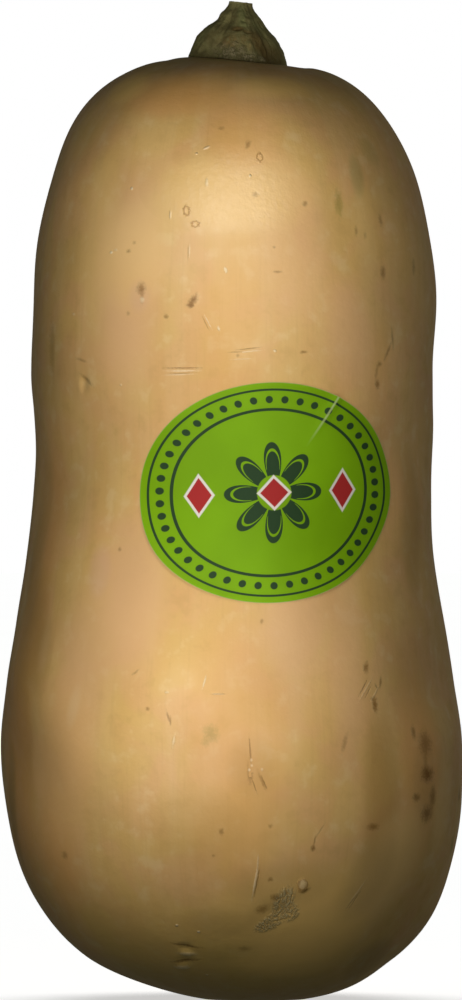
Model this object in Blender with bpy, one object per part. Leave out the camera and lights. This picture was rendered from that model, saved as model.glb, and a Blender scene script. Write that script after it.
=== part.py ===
"""Butternut squash standing on its blossom end: the fruit, the woody stub of its stem and an oval sticker.

Metres, Z up, the floor at 0. X is to the right of someone who faces the sticker, and Y is away from them.
"""

import math

import bmesh
import bpy
import numpy as np
from mathutils import Vector

MM = 0.001

# Fruit: heights above the floor and radii, half the width seen from the front
BULB_HEIGHT = 60.0 * MM
BULB_RADIUS = 55.2 * MM
WAIST_HEIGHT = 129.0 * MM
WAIST_RADIUS = 47.3 * MM
NECK_HEIGHT = 150.0 * MM
NECK_RADIUS = 48.5 * MM
SHOULDER_RISE = 74.8 * MM
DEPTH_SHARE = 0.975

# The wall between the bulb's and the neck's widest rings, as height and radius
WALL = (
    (BULB_HEIGHT, BULB_RADIUS),
    (76.0 * MM, 53.6 * MM),
    (90.5 * MM, 51.4 * MM),
    (105.0 * MM, 49.1 * MM),
    (118.0 * MM, 47.8 * MM),
    (WAIST_HEIGHT, WAIST_RADIUS),
    (140.0 * MM, 47.9 * MM),
    (NECK_HEIGHT, NECK_RADIUS),
)

# Both ends are rounded as a superellipse, with one power for the height and one for the radius
UNDERSIDE_POWERS = (2.65, 2.2)
SHOULDER_POWERS = (2.6, 3.45)

# The core wanders sideways as the fruit grew: height and X
CORE = (
    (0.0, 5.0 * MM),
    (10.0 * MM, 1.15 * MM),
    (22.0 * MM, 0.25 * MM),
    (44.0 * MM, 0.4 * MM),
    (60.0 * MM, 0.05 * MM),
    (76.0 * MM, -1.5 * MM),
    (90.0 * MM, -1.05 * MM),
    (106.0 * MM, -0.9 * MM),
    (121.0 * MM, 0.05 * MM),
    (150.0 * MM, -0.35 * MM),
    (178.0 * MM, 0.0),
    (200.0 * MM, 0.15 * MM),
    (226.0 * MM, 0.75 * MM),
)

# The shoulder leans down to the right: the drop in height per metre of X
SHOULDER_LEAN = 0.05
# Right round the stem it leans more
POLE_LEAN = 0.06

# Five faint lobes run down the shoulder from the ribs of the stem
RIBS = 5
RIB_TURN = math.radians(-80.0)
LOBE_SHARE = 0.008

# Flat ring that it stands on, with the blossom scar inside it
REST_RADIUS = 12.5 * MM
SCAR_RADIUS = 5.0 * MM
SCAR_FLOOR_RADIUS = 2.6 * MM
SCAR_DEPTH = 1.2 * MM

# Seat of the stem in the shoulder, and the stub's root in it
GAP = 0.3 * MM
SEAT_RADIUS = 9.0 * MM
SEAT_FLOOR_RADIUS = 8.4 * MM
SEAT_DEPTH = 1.6 * MM

# Stem stub: its radius over the ribs at shares of the way from its foot to its cut end
STUB = (
    (0.00, 12.1 * MM),
    (0.12, 11.6 * MM),
    (0.30, 10.5 * MM),
    (0.48, 8.7 * MM),
    (0.62, 6.7 * MM),
    (0.76, 5.1 * MM),
    (0.88, 3.5 * MM),
    (1.00, 2.8 * MM),
)
STUB_TOP_HEIGHT = 239.0 * MM
STUB_TOP_X = 1.65 * MM
STUB_TOP_SLOPE = 0.10
STUB_HOLLOW = 0.6 * MM
GROOVE_SHARE = 0.15

# Oval sticker, measured along the skin from the front line of the fruit
STICKER_HALF_WIDTH = 32.5 * MM
STICKER_HALF_HEIGHT = 26.0 * MM
STICKER_ALONG = 9.5 * MM
STICKER_HEIGHT = 121.3 * MM
STICKER_TILT = math.radians(2.3)
STICKER_THICKNESS = 0.4 * MM

# Fineness of the meshes
FRUIT_COLUMNS = 64
FRUIT_RINGS = 46
OUTLINE_SAMPLES = 240
STUB_COLUMNS = 8 * RIBS
STUB_RINGS = 10
STICKER_SPOKES = 40
STICKER_RINGS = 5
SHARP_EDGE = math.radians(40.0)


def blend(low, high, value):
    """0 below low, 1 above high, and a smooth step between them."""
    share = min(max((value - low) / (high - low), 0.0), 1.0)
    return share * share * (3.0 - 2.0 * share)


def through(stations, at):
    """The smooth curve through the stations, level at both ends."""
    places = [place for place, value in stations]
    values = [value for place, value in stations]
    slopes = [0.0]
    for i in range(1, len(stations) - 1):
        slopes.append((values[i + 1] - values[i - 1]) / (places[i + 1] - places[i - 1]))
    slopes.append(0.0)
    at = min(max(at, places[0]), places[-1])
    i = max(k for k in range(len(places) - 1) if places[k] <= at)
    step = places[i + 1] - places[i]
    t = (at - places[i]) / step
    return (
        (2.0 * t**3 - 3.0 * t**2 + 1.0) * values[i]
        + (t**3 - 2.0 * t**2 + t) * step * slopes[i]
        + (3.0 * t**2 - 2.0 * t**3) * values[i + 1]
        + (t**3 - t**2) * step * slopes[i + 1]
    )


def cap_rise(radius, widest, rise, powers):
    """How far a superellipse cap has risen from its widest ring where it has shrunk to this radius."""
    up, out = powers
    return rise * (1.0 - (radius / widest) ** out) ** (1.0 / up)


def underside_height(radius):
    """Height of the bulb's underside, which meets the floor at the edge of the flat ring."""
    drop = BULB_HEIGHT / cap_rise(REST_RADIUS, BULB_RADIUS, 1.0, UNDERSIDE_POWERS)
    return BULB_HEIGHT - cap_rise(radius, BULB_RADIUS, drop, UNDERSIDE_POWERS)


def shoulder_height(radius):
    return NECK_HEIGHT + cap_rise(radius, NECK_RADIUS, SHOULDER_RISE, SHOULDER_POWERS)


def outline():
    """Heights and radii from the flat ring up to the stem's seat, evenly spaced along the outline."""
    quarter = np.linspace(0.0, math.pi / 2.0, OUTLINE_SAMPLES)
    under = REST_RADIUS + (BULB_RADIUS - REST_RADIUS) * np.sin(quarter)
    above = SEAT_RADIUS + (NECK_RADIUS - SEAT_RADIUS) * np.cos(quarter)
    between = np.linspace(BULB_HEIGHT, NECK_HEIGHT, OUTLINE_SAMPLES)
    points = [(underside_height(radius), radius) for radius in under]
    points += [(height, through(WALL, height)) for height in between[1:-1]]
    points += [(shoulder_height(radius), radius) for radius in above]
    points = np.array(points)
    steps = np.hypot(*np.diff(points, axis=0).T)
    travel = np.concatenate([[0.0], np.cumsum(steps)])
    stops = np.linspace(0.0, travel[-1], FRUIT_RINGS)
    return [(np.interp(s, travel, points[:, 0]), np.interp(s, travel, points[:, 1])) for s in stops]


def skin(turn, height, radius):
    """Point of the fruit's skin at this turn about its core, counted from +X, on a ring of its outline."""
    lobe = LOBE_SHARE * blend(170.0 * MM, 215.0 * MM, height) * math.cos(RIBS * (turn - RIB_TURN))
    out = radius * (1.0 + lobe)
    lean = SHOULDER_LEAN * blend(195.0 * MM, 222.0 * MM, height)
    lean += POLE_LEAN * blend(223.8 * MM, 224.8 * MM, height)
    return Vector(
        (
            through(CORE, height) + out * math.cos(turn),
            out * DEPTH_SHARE * math.sin(turn),
            height - lean * out * math.cos(turn),
        )
    )


def turns_of(columns):
    return [2.0 * math.pi * k / columns for k in range(columns)]


def turned_body(name, origin, first, rings, last):
    """Closed mesh object through rings of points, from a first point at one pole to a last one at the other."""
    mesh = bmesh.new()
    start = mesh.verts.new(first - origin)
    rows = [[mesh.verts.new(point - origin) for point in ring] for ring in rings]
    end = mesh.verts.new(last - origin)
    count = len(rows[0])
    for k in range(count):
        after = (k + 1) % count
        mesh.faces.new((start, rows[0][after], rows[0][k]))
        for low, high in zip(rows, rows[1:]):
            mesh.faces.new((low[k], low[after], high[after], high[k]))
        mesh.faces.new((rows[-1][k], rows[-1][after], end))
    data = bpy.data.meshes.new(name)
    mesh.to_mesh(data)
    mesh.free()
    data.shade_smooth()
    data.set_sharp_from_angle(angle=SHARP_EDGE)
    body = bpy.data.objects.new(name, data)
    body.location = origin
    bpy.context.scene.collection.objects.link(body)
    return body


def linear(channel):
    """One channel of an sRGB colour, 0 to 255, as linear light."""
    share = channel / 255.0
    return share / 12.92 if share <= 0.04045 else ((share + 0.055) / 1.055) ** 2.4


def finish(body, name, colour, roughness):
    """Give the body its own material, of an sRGB colour written as a hex number."""
    material = bpy.data.materials.new(name)
    material.use_nodes = True
    shader = material.node_tree.nodes["Principled BSDF"]
    red, green, blue = (linear((colour >> shift) & 255) for shift in (16, 8, 0))
    shader.inputs["Base Color"].default_value = (red, green, blue, 1.0)
    shader.inputs["Roughness"].default_value = roughness
    shader.inputs["Metallic"].default_value = 0.0
    body.data.materials.append(material)


def make_fruit():
    """The fruit, one solid: flat ring with the blossom scar, bulb, waist, neck, shoulder and the stem's seat."""
    turns = turns_of(FRUIT_COLUMNS)
    foot = skin(0.0, 0.0, 0.0)
    top_height = shoulder_height(0.0)
    rings = [
        [skin(turn, 0.0, SCAR_FLOOR_RADIUS) + Vector((0.0, 0.0, SCAR_DEPTH)) for turn in turns],
        [skin(turn, 0.0, SCAR_RADIUS) for turn in turns],
    ]
    rings += [[skin(turn, height, radius) for turn in turns] for height, radius in outline()]
    rings.append(shoulder_ring(turns, SEAT_FLOOR_RADIUS, -SEAT_DEPTH))
    first = foot + Vector((0.0, 0.0, SCAR_DEPTH))
    last = skin(0.0, top_height, 0.0) - Vector((0.0, 0.0, SEAT_DEPTH))
    body = turned_body("squash_fruit", Vector((0.0, 0.0, 0.0)), first, rings, last)
    finish(body, "waxy_squash_skin", 0xDCAE72, 0.5)
    return body


def shoulder_ring(turns, radius, lift):
    """Ring of points on the shoulder round the stem, lifted off the skin or, below zero, sunk into it."""
    height = shoulder_height(radius)
    return [skin(turn, height, radius) + Vector((0.0, 0.0, lift)) for turn in turns]


def rib_share(turn):
    """Share of the stub's radius at this turn: 1 on the crest of a rib and least in the groove between two."""
    crest = abs(math.cos(RIBS * (turn - RIB_TURN) / 2.0))
    return 1.0 - GROOVE_SHARE * (1.0 - crest) ** 1.5


def make_stub(fruit):
    """The woody stub: a root in the seat, a flared foot that follows the shoulder, ribs and a slanted cut end."""
    turns = turns_of(STUB_COLUMNS)
    foot = [
        skin(turn, shoulder_height(STUB[0][1] * rib_share(turn)), STUB[0][1] * rib_share(turn))
        + Vector((0.0, 0.0, GAP))
        for turn in turns
    ]
    centre = skin(0.0, shoulder_height(0.0), 0.0)
    rings = [
        shoulder_ring(turns, SEAT_FLOOR_RADIUS - 1.5 * GAP, GAP - SEAT_DEPTH),
        shoulder_ring(turns, SEAT_RADIUS - 1.5 * GAP, GAP),
        foot,
    ]
    for k in range(1, STUB_RINGS + 1):
        share = k / STUB_RINGS
        middle_x = centre.x + (STUB_TOP_X - centre.x) * share
        ring = []
        for turn, below in zip(turns, foot):
            out = through(STUB, share) * rib_share(turn)
            top = STUB_TOP_HEIGHT - STUB_TOP_SLOPE * out * math.cos(turn)
            height = below.z + (top - below.z) * share
            ring.append(Vector((middle_x + out * math.cos(turn), out * math.sin(turn), height)))
        rings.append(ring)
    first = centre + Vector((0.0, 0.0, GAP - SEAT_DEPTH))
    last = Vector((STUB_TOP_X, 0.0, STUB_TOP_HEIGHT - STUB_HOLLOW))
    body = turned_body("stem_stub", centre, first, rings, last)
    finish(body, "dry_woody_stem", 0x5F5838, 0.85)
    body.parent = fruit


def on_wall(along, height, lift):
    """Point this far round the wall from its front line, at this height, lifted off the skin."""
    radius = through(WALL, height)
    turn = along / radius - math.pi / 2.0
    slope = (through(WALL, height + MM) - through(WALL, height - MM)) / (2.0 * MM)
    outward = Vector((math.cos(turn), math.sin(turn) / DEPTH_SHARE, -slope)).normalized()
    return skin(turn, height, radius) + lift * outward


def make_sticker(fruit):
    """The sticker: an oval sheet that follows the wall, a gap clear of the skin."""

    def at(share, spoke, lift):
        right = share * STICKER_HALF_WIDTH * math.cos(spoke)
        up = share * STICKER_HALF_HEIGHT * math.sin(spoke)
        along = STICKER_ALONG + right * math.cos(STICKER_TILT) - up * math.sin(STICKER_TILT)
        height = STICKER_HEIGHT + right * math.sin(STICKER_TILT) + up * math.cos(STICKER_TILT)
        return on_wall(along, height, lift)

    spokes = turns_of(STICKER_SPOKES)
    shares = [k / STICKER_RINGS for k in range(1, STICKER_RINGS + 1)]
    face = GAP + STICKER_THICKNESS
    rings = [[at(share, spoke, GAP) for spoke in spokes] for share in shares]
    rings += [[at(share, spoke, face) for spoke in spokes] for share in reversed(shares)]
    body = turned_body("oval_sticker", at(0.0, 0.0, face), at(0.0, 0.0, GAP), rings, at(0.0, 0.0, face))
    finish(body, "green_vinyl_sticker", 0x79A311, 0.35)
    body.parent = fruit


for leftover in list(bpy.data.objects):
    bpy.data.objects.remove(leftover)

whole_fruit = make_fruit()
make_stub(whole_fruit)
make_sticker(whole_fruit)
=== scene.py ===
import math
import bpy
import numpy as np
from mathutils import Matrix, Vector, noise
from mathutils.bvhtree import BVHTree


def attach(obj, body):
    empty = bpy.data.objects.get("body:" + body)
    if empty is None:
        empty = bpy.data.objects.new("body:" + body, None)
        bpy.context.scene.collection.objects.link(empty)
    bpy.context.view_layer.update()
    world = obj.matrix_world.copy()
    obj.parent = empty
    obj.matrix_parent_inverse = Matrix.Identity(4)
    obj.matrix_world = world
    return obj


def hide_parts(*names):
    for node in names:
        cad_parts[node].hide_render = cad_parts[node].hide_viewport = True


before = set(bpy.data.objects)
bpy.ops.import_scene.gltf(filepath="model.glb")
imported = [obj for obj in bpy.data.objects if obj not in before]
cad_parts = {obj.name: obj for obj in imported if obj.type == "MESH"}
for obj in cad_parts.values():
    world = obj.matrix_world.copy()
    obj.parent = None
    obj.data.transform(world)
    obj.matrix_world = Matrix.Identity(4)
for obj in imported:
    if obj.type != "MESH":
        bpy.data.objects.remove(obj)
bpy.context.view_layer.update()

# The fruit. A ripe butternut, grown as one piece: a straight neck, a slight waist and a wider seed bulb.
# Its rind is buff, waxy and hard, marked by rubbing, dew and insects in the field, and it stands on its
# blossom end. Heights are above the floor, radii are half the width seen from the front.
MM = 0.001
BULB_HEIGHT = 60.0 * MM
BULB_RADIUS = 55.2 * MM
WAIST_HEIGHT = 129.0 * MM
WAIST_RADIUS = 47.3 * MM
NECK_HEIGHT = 150.0 * MM
NECK_RADIUS = 48.5 * MM
SHOULDER_RISE = 74.8 * MM
DEPTH_SHARE = 0.975
WALL = (
    (BULB_HEIGHT, BULB_RADIUS),
    (76.0 * MM, 53.6 * MM),
    (90.5 * MM, 51.4 * MM),
    (105.0 * MM, 49.1 * MM),
    (118.0 * MM, 47.8 * MM),
    (WAIST_HEIGHT, WAIST_RADIUS),
    (140.0 * MM, 47.9 * MM),
    (NECK_HEIGHT, NECK_RADIUS),
)
UNDERSIDE_POWERS = (2.65, 2.2)
SHOULDER_POWERS = (2.6, 3.45)
CORE = (
    (0.0, 5.0 * MM),
    (10.0 * MM, 1.15 * MM),
    (22.0 * MM, 0.25 * MM),
    (44.0 * MM, 0.4 * MM),
    (60.0 * MM, 0.05 * MM),
    (76.0 * MM, -1.5 * MM),
    (90.0 * MM, -1.05 * MM),
    (106.0 * MM, -0.9 * MM),
    (121.0 * MM, 0.05 * MM),
    (150.0 * MM, -0.35 * MM),
    (178.0 * MM, 0.0),
    (200.0 * MM, 0.15 * MM),
    (226.0 * MM, 0.75 * MM),
)
SHOULDER_LEAN = 0.05
POLE_LEAN = 0.06
RIBS = 5
RIB_TURN = math.radians(-80.0)
LOBE_SHARE = 0.008
REST_RADIUS = 12.5 * MM
SCAR_RADIUS = 5.0 * MM
SCAR_DEPTH = 1.2 * MM
SCAR_FLOOR_SHARE = 0.45
SEAT_RADIUS = 9.0 * MM
SEAT_FLOOR_RADIUS = 8.4 * MM
SEAT_DEPTH = 1.6 * MM
FRUIT_COLUMNS = 352
FRUIT_RINGS = 264
FLAT_RINGS = 8
OUTLINE_SAMPLES = 1200
FRONT_CROWDING = 0.35


def ramp(low, high, value):
    """0 at low, 1 at high and a smooth step between them, for a number or an array."""
    share = np.clip((value - low) / (high - low), 0.0, 1.0)
    return share * share * (3.0 - 2.0 * share)


def through(stations, at):
    """The smooth curve through the stations, level at both ends."""
    places, values = (np.array(column) for column in zip(*stations))
    slopes = np.zeros(len(places))
    slopes[1:-1] = (values[2:] - values[:-2]) / (places[2:] - places[:-2])
    at = np.clip(at, places[0], places[-1])
    i = np.clip(np.searchsorted(places, at, side="right") - 1, 0, len(places) - 2)
    step = places[i + 1] - places[i]
    t = (at - places[i]) / step
    return (
        (2.0 * t**3 - 3.0 * t**2 + 1.0) * values[i]
        + (t**3 - 2.0 * t**2 + t) * step * slopes[i]
        + (3.0 * t**2 - 2.0 * t**3) * values[i + 1]
        + (t**3 - t**2) * step * slopes[i + 1]
    )


def cap_rise(radius, widest, rise, powers):
    """How far a superellipse cap has risen from its widest ring where it has shrunk to this radius."""
    return rise * (1.0 - (radius / widest) ** powers[1]) ** (1.0 / powers[0])


def underside_height(radius):
    """Height of the bulb's underside, which meets the floor at the edge of the flat ring."""
    drop = BULB_HEIGHT / cap_rise(REST_RADIUS, BULB_RADIUS, 1.0, UNDERSIDE_POWERS)
    return BULB_HEIGHT - cap_rise(radius, BULB_RADIUS, drop, UNDERSIDE_POWERS)


def shoulder_height(radius):
    return NECK_HEIGHT + cap_rise(radius, NECK_RADIUS, SHOULDER_RISE, SHOULDER_POWERS)


def skin(turn, height, radius):
    """Points of the smooth skin at this turn about the core, counted from +X, on a ring of its outline."""
    lobe = LOBE_SHARE * ramp(170.0 * MM, 215.0 * MM, height) * np.cos(RIBS * (turn - RIB_TURN))
    out = radius * (1.0 + lobe)
    lean = SHOULDER_LEAN * ramp(195.0 * MM, 222.0 * MM, height)
    lean = lean + POLE_LEAN * ramp(223.8 * MM, 224.8 * MM, height)
    x = through(CORE, height) + out * np.cos(turn)
    y = out * DEPTH_SHARE * np.sin(turn)
    return np.stack([x, y, height - lean * out * np.cos(turn)], axis=-1)


def fruit_outline():
    """Heights and radii from the flat ring up to the stem's seat, evenly spaced along the outline."""
    quarter = np.linspace(0.0, math.pi / 2.0, OUTLINE_SAMPLES)
    under = REST_RADIUS + (BULB_RADIUS - REST_RADIUS) * np.sin(quarter)
    above = SEAT_RADIUS + (NECK_RADIUS - SEAT_RADIUS) * np.cos(quarter)
    between = np.linspace(BULB_HEIGHT, NECK_HEIGHT, OUTLINE_SAMPLES)[1:-1]
    heights = np.concatenate([underside_height(under), between, shoulder_height(above)])
    radii = np.concatenate([under, through(WALL, between), above])
    travel = np.concatenate([[0.0], np.cumsum(np.hypot(np.diff(heights), np.diff(radii)))])
    stops = np.linspace(0.0, travel[-1], FRUIT_RINGS)
    return np.interp(stops, travel, heights), np.interp(stops, travel, radii)


def turned_mesh(name, first, rings, last):
    """Smooth closed mesh through rings of points, from a point at one pole to a point at the other."""
    rows, count = rings.shape[:2]
    points = np.concatenate([[first], rings.reshape(-1, 3), [last]])
    k = np.arange(count)
    after = (k + 1) % count
    low = 1 + count * np.arange(rows - 1)[:, None]
    quads = np.stack([low + k, low + after, low + count + after, low + count + k], axis=-1)
    top = 1 + count * (rows - 1)
    start = np.stack([np.zeros(count, int), 1 + after, 1 + k], axis=-1)
    end = np.stack([top + k, top + after, np.full(count, len(points) - 1)], axis=-1)
    mesh = bpy.data.meshes.new(name)
    mesh.from_pydata(points.tolist(), [], [*start.tolist(), *quads.reshape(-1, 4).tolist(), *end.tolist()])
    mesh.shade_smooth()
    piece = bpy.data.objects.new(name, mesh)
    bpy.context.scene.collection.objects.link(piece)
    return piece


even_turns = 2.0 * math.pi * np.arange(FRUIT_COLUMNS) / FRUIT_COLUMNS
turns = even_turns - FRONT_CROWDING * np.cos(even_turns)
scar_radii = np.linspace(0.0, SCAR_RADIUS, FLAT_RINGS + 1)[1:]
flat_radii = np.linspace(SCAR_RADIUS, REST_RADIUS, FLAT_RINGS + 1)[1:-1]
outline_heights, outline_radii = fruit_outline()
ring_radii = np.concatenate([scar_radii, flat_radii, outline_radii, [SEAT_FLOOR_RADIUS]])
ring_heights = np.concatenate(
    [np.zeros(2 * FLAT_RINGS - 1), outline_heights, [float(shoulder_height(SEAT_FLOOR_RADIUS))]]
)
fruit_rings = skin(turns[None, :], ring_heights[:, None], ring_radii[:, None])
scar_rise = SCAR_DEPTH * (1.0 - ramp(SCAR_FLOOR_SHARE * SCAR_RADIUS, SCAR_RADIUS, scar_radii))
fruit_rings[:FLAT_RINGS, :, 2] += scar_rise[:, None]
fruit_rings[-1, :, 2] -= SEAT_DEPTH
fruit_foot = skin(0.0, 0.0, 0.0) + np.array([0.0, 0.0, SCAR_DEPTH])
fruit_crown = skin(0.0, float(shoulder_height(0.0)), 0.0) - np.array([0.0, 0.0, SEAT_DEPTH])
fruit = turned_mesh("squash_rind", fruit_foot, fruit_rings, fruit_crown)

# Places on the front are given in mm as the camera sees them on the upright plane through the core:
# across from the middle, and height. A look from the camera's eye finds the skin there.
EYE = Vector((-0.0007, -2.4, 0.1196))
fruit_tree = BVHTree.FromObject(fruit, bpy.context.evaluated_depsgraph_get())


def seen(across, height, tree=fruit_tree):
    """The point of the surface that the eye sees at this place, and the outward normal there."""
    way = Vector((EYE.x + across * MM, 0.0, height * MM)) - EYE
    return tree.ray_cast(EYE, way.normalized())[:2]


def patch_axes(place, normal, lean):
    """Rotation with X and Y along the skin at a place, X turned up by lean degrees, and Z straight out."""
    right = Vector((0.0, 0.0, 1.0)).cross(normal).normalized()
    up = normal.cross(right)
    along = math.cos(math.radians(lean)) * right + math.sin(math.radians(lean)) * up
    return Matrix((along, normal.cross(along), normal)).transposed()


# Uneven growth: broad swells a few tenths of a millimetre high, as whole waves round the core
SWELLS = 9
SWELL_HEIGHT = 0.20 * MM
SWELL_SEED = 7


def mesh_places(mesh):
    """The points of a mesh and the normals there."""
    points = np.empty(len(mesh.vertices) * 3, np.float32)
    normals = np.empty_like(points)
    mesh.vertices.foreach_get("co", points)
    mesh.vertices.foreach_get("normal", normals)
    return points.reshape(-1, 3).astype(float), normals.reshape(-1, 3).astype(float)


def raised(mesh, points, normals, rise):
    """Moves the points of a mesh out along their normals, and gives back where they are then."""
    points = points + normals * rise[:, None]
    mesh.vertices.foreach_set("co", points.astype(np.float32).ravel())
    mesh.update()
    return points


def oval_share(points, tree, across, height, half_width, half_height, lean):
    """1 in the middle of an oval on the front and 0 from its edge on, for each of the points."""
    place, normal = seen(across, height, tree)
    local = (points - np.array(place)) @ np.array(patch_axes(place, normal, lean)) / MM
    deep = max(12.0, half_width, half_height)
    reach = (local[:, 0] / half_width) ** 2 + (local[:, 1] / half_height) ** 2 + (local[:, 2] / deep) ** 2
    return np.clip(1.0 - reach, 0.0, None)


def swell(points):
    """How far the grown skin stands out from the smooth one at these points."""
    draw = np.random.default_rng(SWELL_SEED)
    turn = np.arctan2(points[:, 1], points[:, 0])
    rise = np.zeros(len(points))
    for waves in draw.integers(2, 8, SWELLS):
        length = draw.uniform(28.0, 80.0) * MM
        phases = draw.uniform(0.0, 2.0 * math.pi, 2)
        rise += np.cos(waves * turn + phases[0]) * np.cos(2.0 * math.pi * points[:, 2] / length + phases[1])
    radius = np.hypot(points[:, 0], points[:, 1])
    off_floor = ramp(1.0 * MM, 12.0 * MM, points[:, 2])
    off_stem = ramp(12.5 * MM, 24.0 * MM, radius)
    off_stem = np.where(points[:, 2] > NECK_HEIGHT, off_stem, 1.0)
    return SWELL_HEIGHT * rise * off_floor * off_stem


# Dents and lumps that stand in the rind itself: across, height, half width, half height, lean, rise in mm
DENTS = (
    (-35.2, 147.6, 2.3, 1.9, 35.0, -0.55),
    (-36.1, 146.8, 1.2, 0.9, 35.0, 0.35),
    (-35.5, 152.9, 2.2, 0.9, -14.0, -0.22),
    (-31.6, 152.7, 1.1, 0.8, -10.0, -0.14),
    (-10.8, 12.3, 3.0, 0.95, -13.0, -0.60),
    (-10.6, 10.7, 2.9, 1.0, -3.0, 0.45),
    (-10.8, 9.3, 3.1, 0.95, 9.0, -0.60),
    (-11.6, 7.6, 2.8, 1.1, 4.0, 0.40),
    (17.2, 27.1, 1.5, 1.6, 0.0, 0.42),
    (5.9, 28.1, 0.8, 4.2, -14.0, 0.16),
    (11.4, 20.8, 4.4, 4.6, 20.0, -0.30),
    (4.7, 55.2, 0.9, 3.2, 0.0, -0.22),
    (-6.0, 60.0, 15.0, 11.0, 0.0, -0.25),
    (24.0, 96.0, 12.0, 20.0, 0.0, -0.30),
    (-27.0, 104.0, 9.0, 16.0, 0.0, -0.30),
    (-14.0, 196.0, 11.0, 14.0, 0.0, -0.22),
    (27.0, 190.0, 9.0, 18.0, 0.0, -0.28),
)
mesh_points, mesh_normals = mesh_places(fruit.data)
rise = swell(mesh_points)
for *oval, depth in DENTS:
    rise += depth * MM * oval_share(mesh_points, fruit_tree, *oval) ** 2
mesh_points = raised(fruit.data, mesh_points, mesh_normals, rise)
fruit_tree = BVHTree.FromObject(fruit, bpy.context.evaluated_depsgraph_get())

# Small marks: brown flecks and insect pecks, hairlines that healed pale, rings left by drops, olive stains,
# and painted shade as dark lines in the two folds near the bottom and in two dents on the left.
# Each is across, height, half width, half height in mm, the degrees it leans, and its strength.
FLECKS_AND_CREASE_SHADE = (
    (-21.6, 170.4, 0.9, 1.1, 0.0, 0.62),
    (-21.4, 168.6, 0.45, 1.5, 0.0, 0.32),
    (-9.1, 167.5, 0.65, 1.25, -35.0, 0.80),
    (-9.7, 166.3, 0.7, 0.5, 0.0, 0.70),
    (-15.6, 163.6, 0.45, 0.45, 0.0, 0.60),
    (-24.6, 179.3, 0.5, 0.35, 20.0, 0.50),
    (-23.2, 181.4, 0.35, 0.35, 0.0, 0.35),
    (-24.8, 164.4, 0.4, 0.4, 0.0, 0.35),
    (-2.3, 209.0, 0.6, 0.5, 0.0, 0.35),
    (4.1, 205.0, 0.5, 0.85, -20.0, 0.55),
    (5.9, 193.0, 0.6, 0.5, 0.0, 0.40),
    (17.9, 190.8, 0.5, 0.55, 0.0, 0.55),
    (35.9, 186.7, 0.5, 1.2, 10.0, 0.50),
    (30.4, 184.3, 0.35, 0.9, 0.0, 0.45),
    (32.5, 183.2, 0.4, 0.6, 0.0, 0.30),
    (36.7, 174.4, 0.7, 1.2, -10.0, 0.60),
    (43.8, 175.5, 0.6, 1.4, 0.0, 0.40),
    (11.2, 174.4, 0.8, 0.25, 0.0, 0.50),
    (10.4, 180.3, 0.3, 0.25, 0.0, 0.40),
    (17.3, 155.1, 0.7, 0.3, 5.0, 0.65),
    (1.6, 154.3, 0.35, 0.35, 0.0, 0.40),
    (38.8, 158.4, 0.35, 2.0, 4.0, 0.45),
    (37.6, 155.2, 0.35, 2.0, -32.0, 0.50),
    (35.6, 152.3, 0.55, 0.55, 0.0, 0.60),
    (34.9, 150.6, 0.4, 1.6, -12.0, 0.35),
    (35.0, 147.4, 0.6, 0.9, 10.0, 0.65),
    (-42.8, 156.8, 1.2, 4.6, 0.0, 0.28),
    (-27.0, 107.8, 0.4, 0.4, 0.0, 0.45),
    (-22.9, 78.2, 0.9, 0.25, 35.0, 0.40),
    (-20.0, 69.5, 0.42, 0.42, 0.0, 0.55),
    (-15.1, 67.6, 0.25, 1.1, 18.0, 0.55),
    (-14.6, 66.6, 0.22, 0.9, 0.0, 0.45),
    (32.1, 79.4, 0.65, 1.1, -10.0, 0.70),
    (35.6, 75.8, 0.30, 1.1, -12.0, 0.60),
    (34.6, 74.9, 0.25, 0.6, 30.0, 0.45),
    (34.5, 70.4, 0.60, 1.4, 4.0, 0.80),
    (34.2, 71.8, 0.9, 0.35, 0.0, 0.40),
    (27.5, 61.4, 0.5, 1.9, -20.0, 0.35),
    (7.4, 90.5, 0.30, 0.5, 0.0, 0.50),
    (43.8, 63.8, 0.6, 1.3, 0.0, 0.60),
    (46.4, 61.2, 1.9, 2.2, 0.0, 0.60),
    (46.4, 57.2, 0.6, 2.6, 0.0, 0.30),
    (46.8, 53.8, 1.9, 1.5, 0.0, 0.90),
    (44.3, 48.3, 1.1, 0.8, 0.0, 0.65),
    (48.1, 48.4, 1.1, 2.0, 0.0, 0.60),
    (46.8, 44.4, 1.9, 1.6, 0.0, 0.75),
    (33.9, 41.2, 1.2, 0.7, 0.0, 0.65),
    (9.5, 41.3, 0.45, 0.45, 0.0, 0.45),
    (-2.3, 40.0, 0.45, 0.7, 0.0, 0.55),
    (-40.0, 34.3, 0.8, 0.8, 0.0, 0.45),
    (-4.2, 34.3, 0.3, 0.3, 0.0, 0.40),
    (9.5, 28.6, 0.5, 0.45, 0.0, 0.60),
    (19.7, 36.0, 0.45, 0.6, 0.0, 0.75),
    (20.1, 37.8, 0.18, 1.0, -8.0, 0.55),
    (21.4, 40.2, 0.16, 1.6, -32.0, 0.35),
    (4.6, 54.4, 0.5, 2.0, 0.0, 0.65),
    (7.4, 52.2, 0.3, 1.8, 22.0, 0.45),
    (10.6, 24.3, 0.9, 0.7, 0.0, 0.65),
    (13.0, 25.4, 0.8, 0.5, 60.0, 0.50),
    (7.4, 21.3, 1.2, 0.9, 30.0, 0.60),
    (17.9, 25.8, 1.1, 0.35, 35.0, 0.60),
    # The next two are painted shade, dark lines along the folds near the bottom
    (-11.0, 12.6, 2.8, 0.35, -13.0, 0.75),
    (-10.8, 9.0, 3.0, 0.35, 9.0, 0.75),
    (3.3, 11.5, 1.2, 0.8, 0.0, 0.35),
    # These two are painted shade in the dents on the left
    (-34.6, 148.5, 2.0, 0.4, -35.0, 0.50),
    (-35.8, 153.2, 1.5, 0.3, -14.0, 0.40),
)
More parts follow.
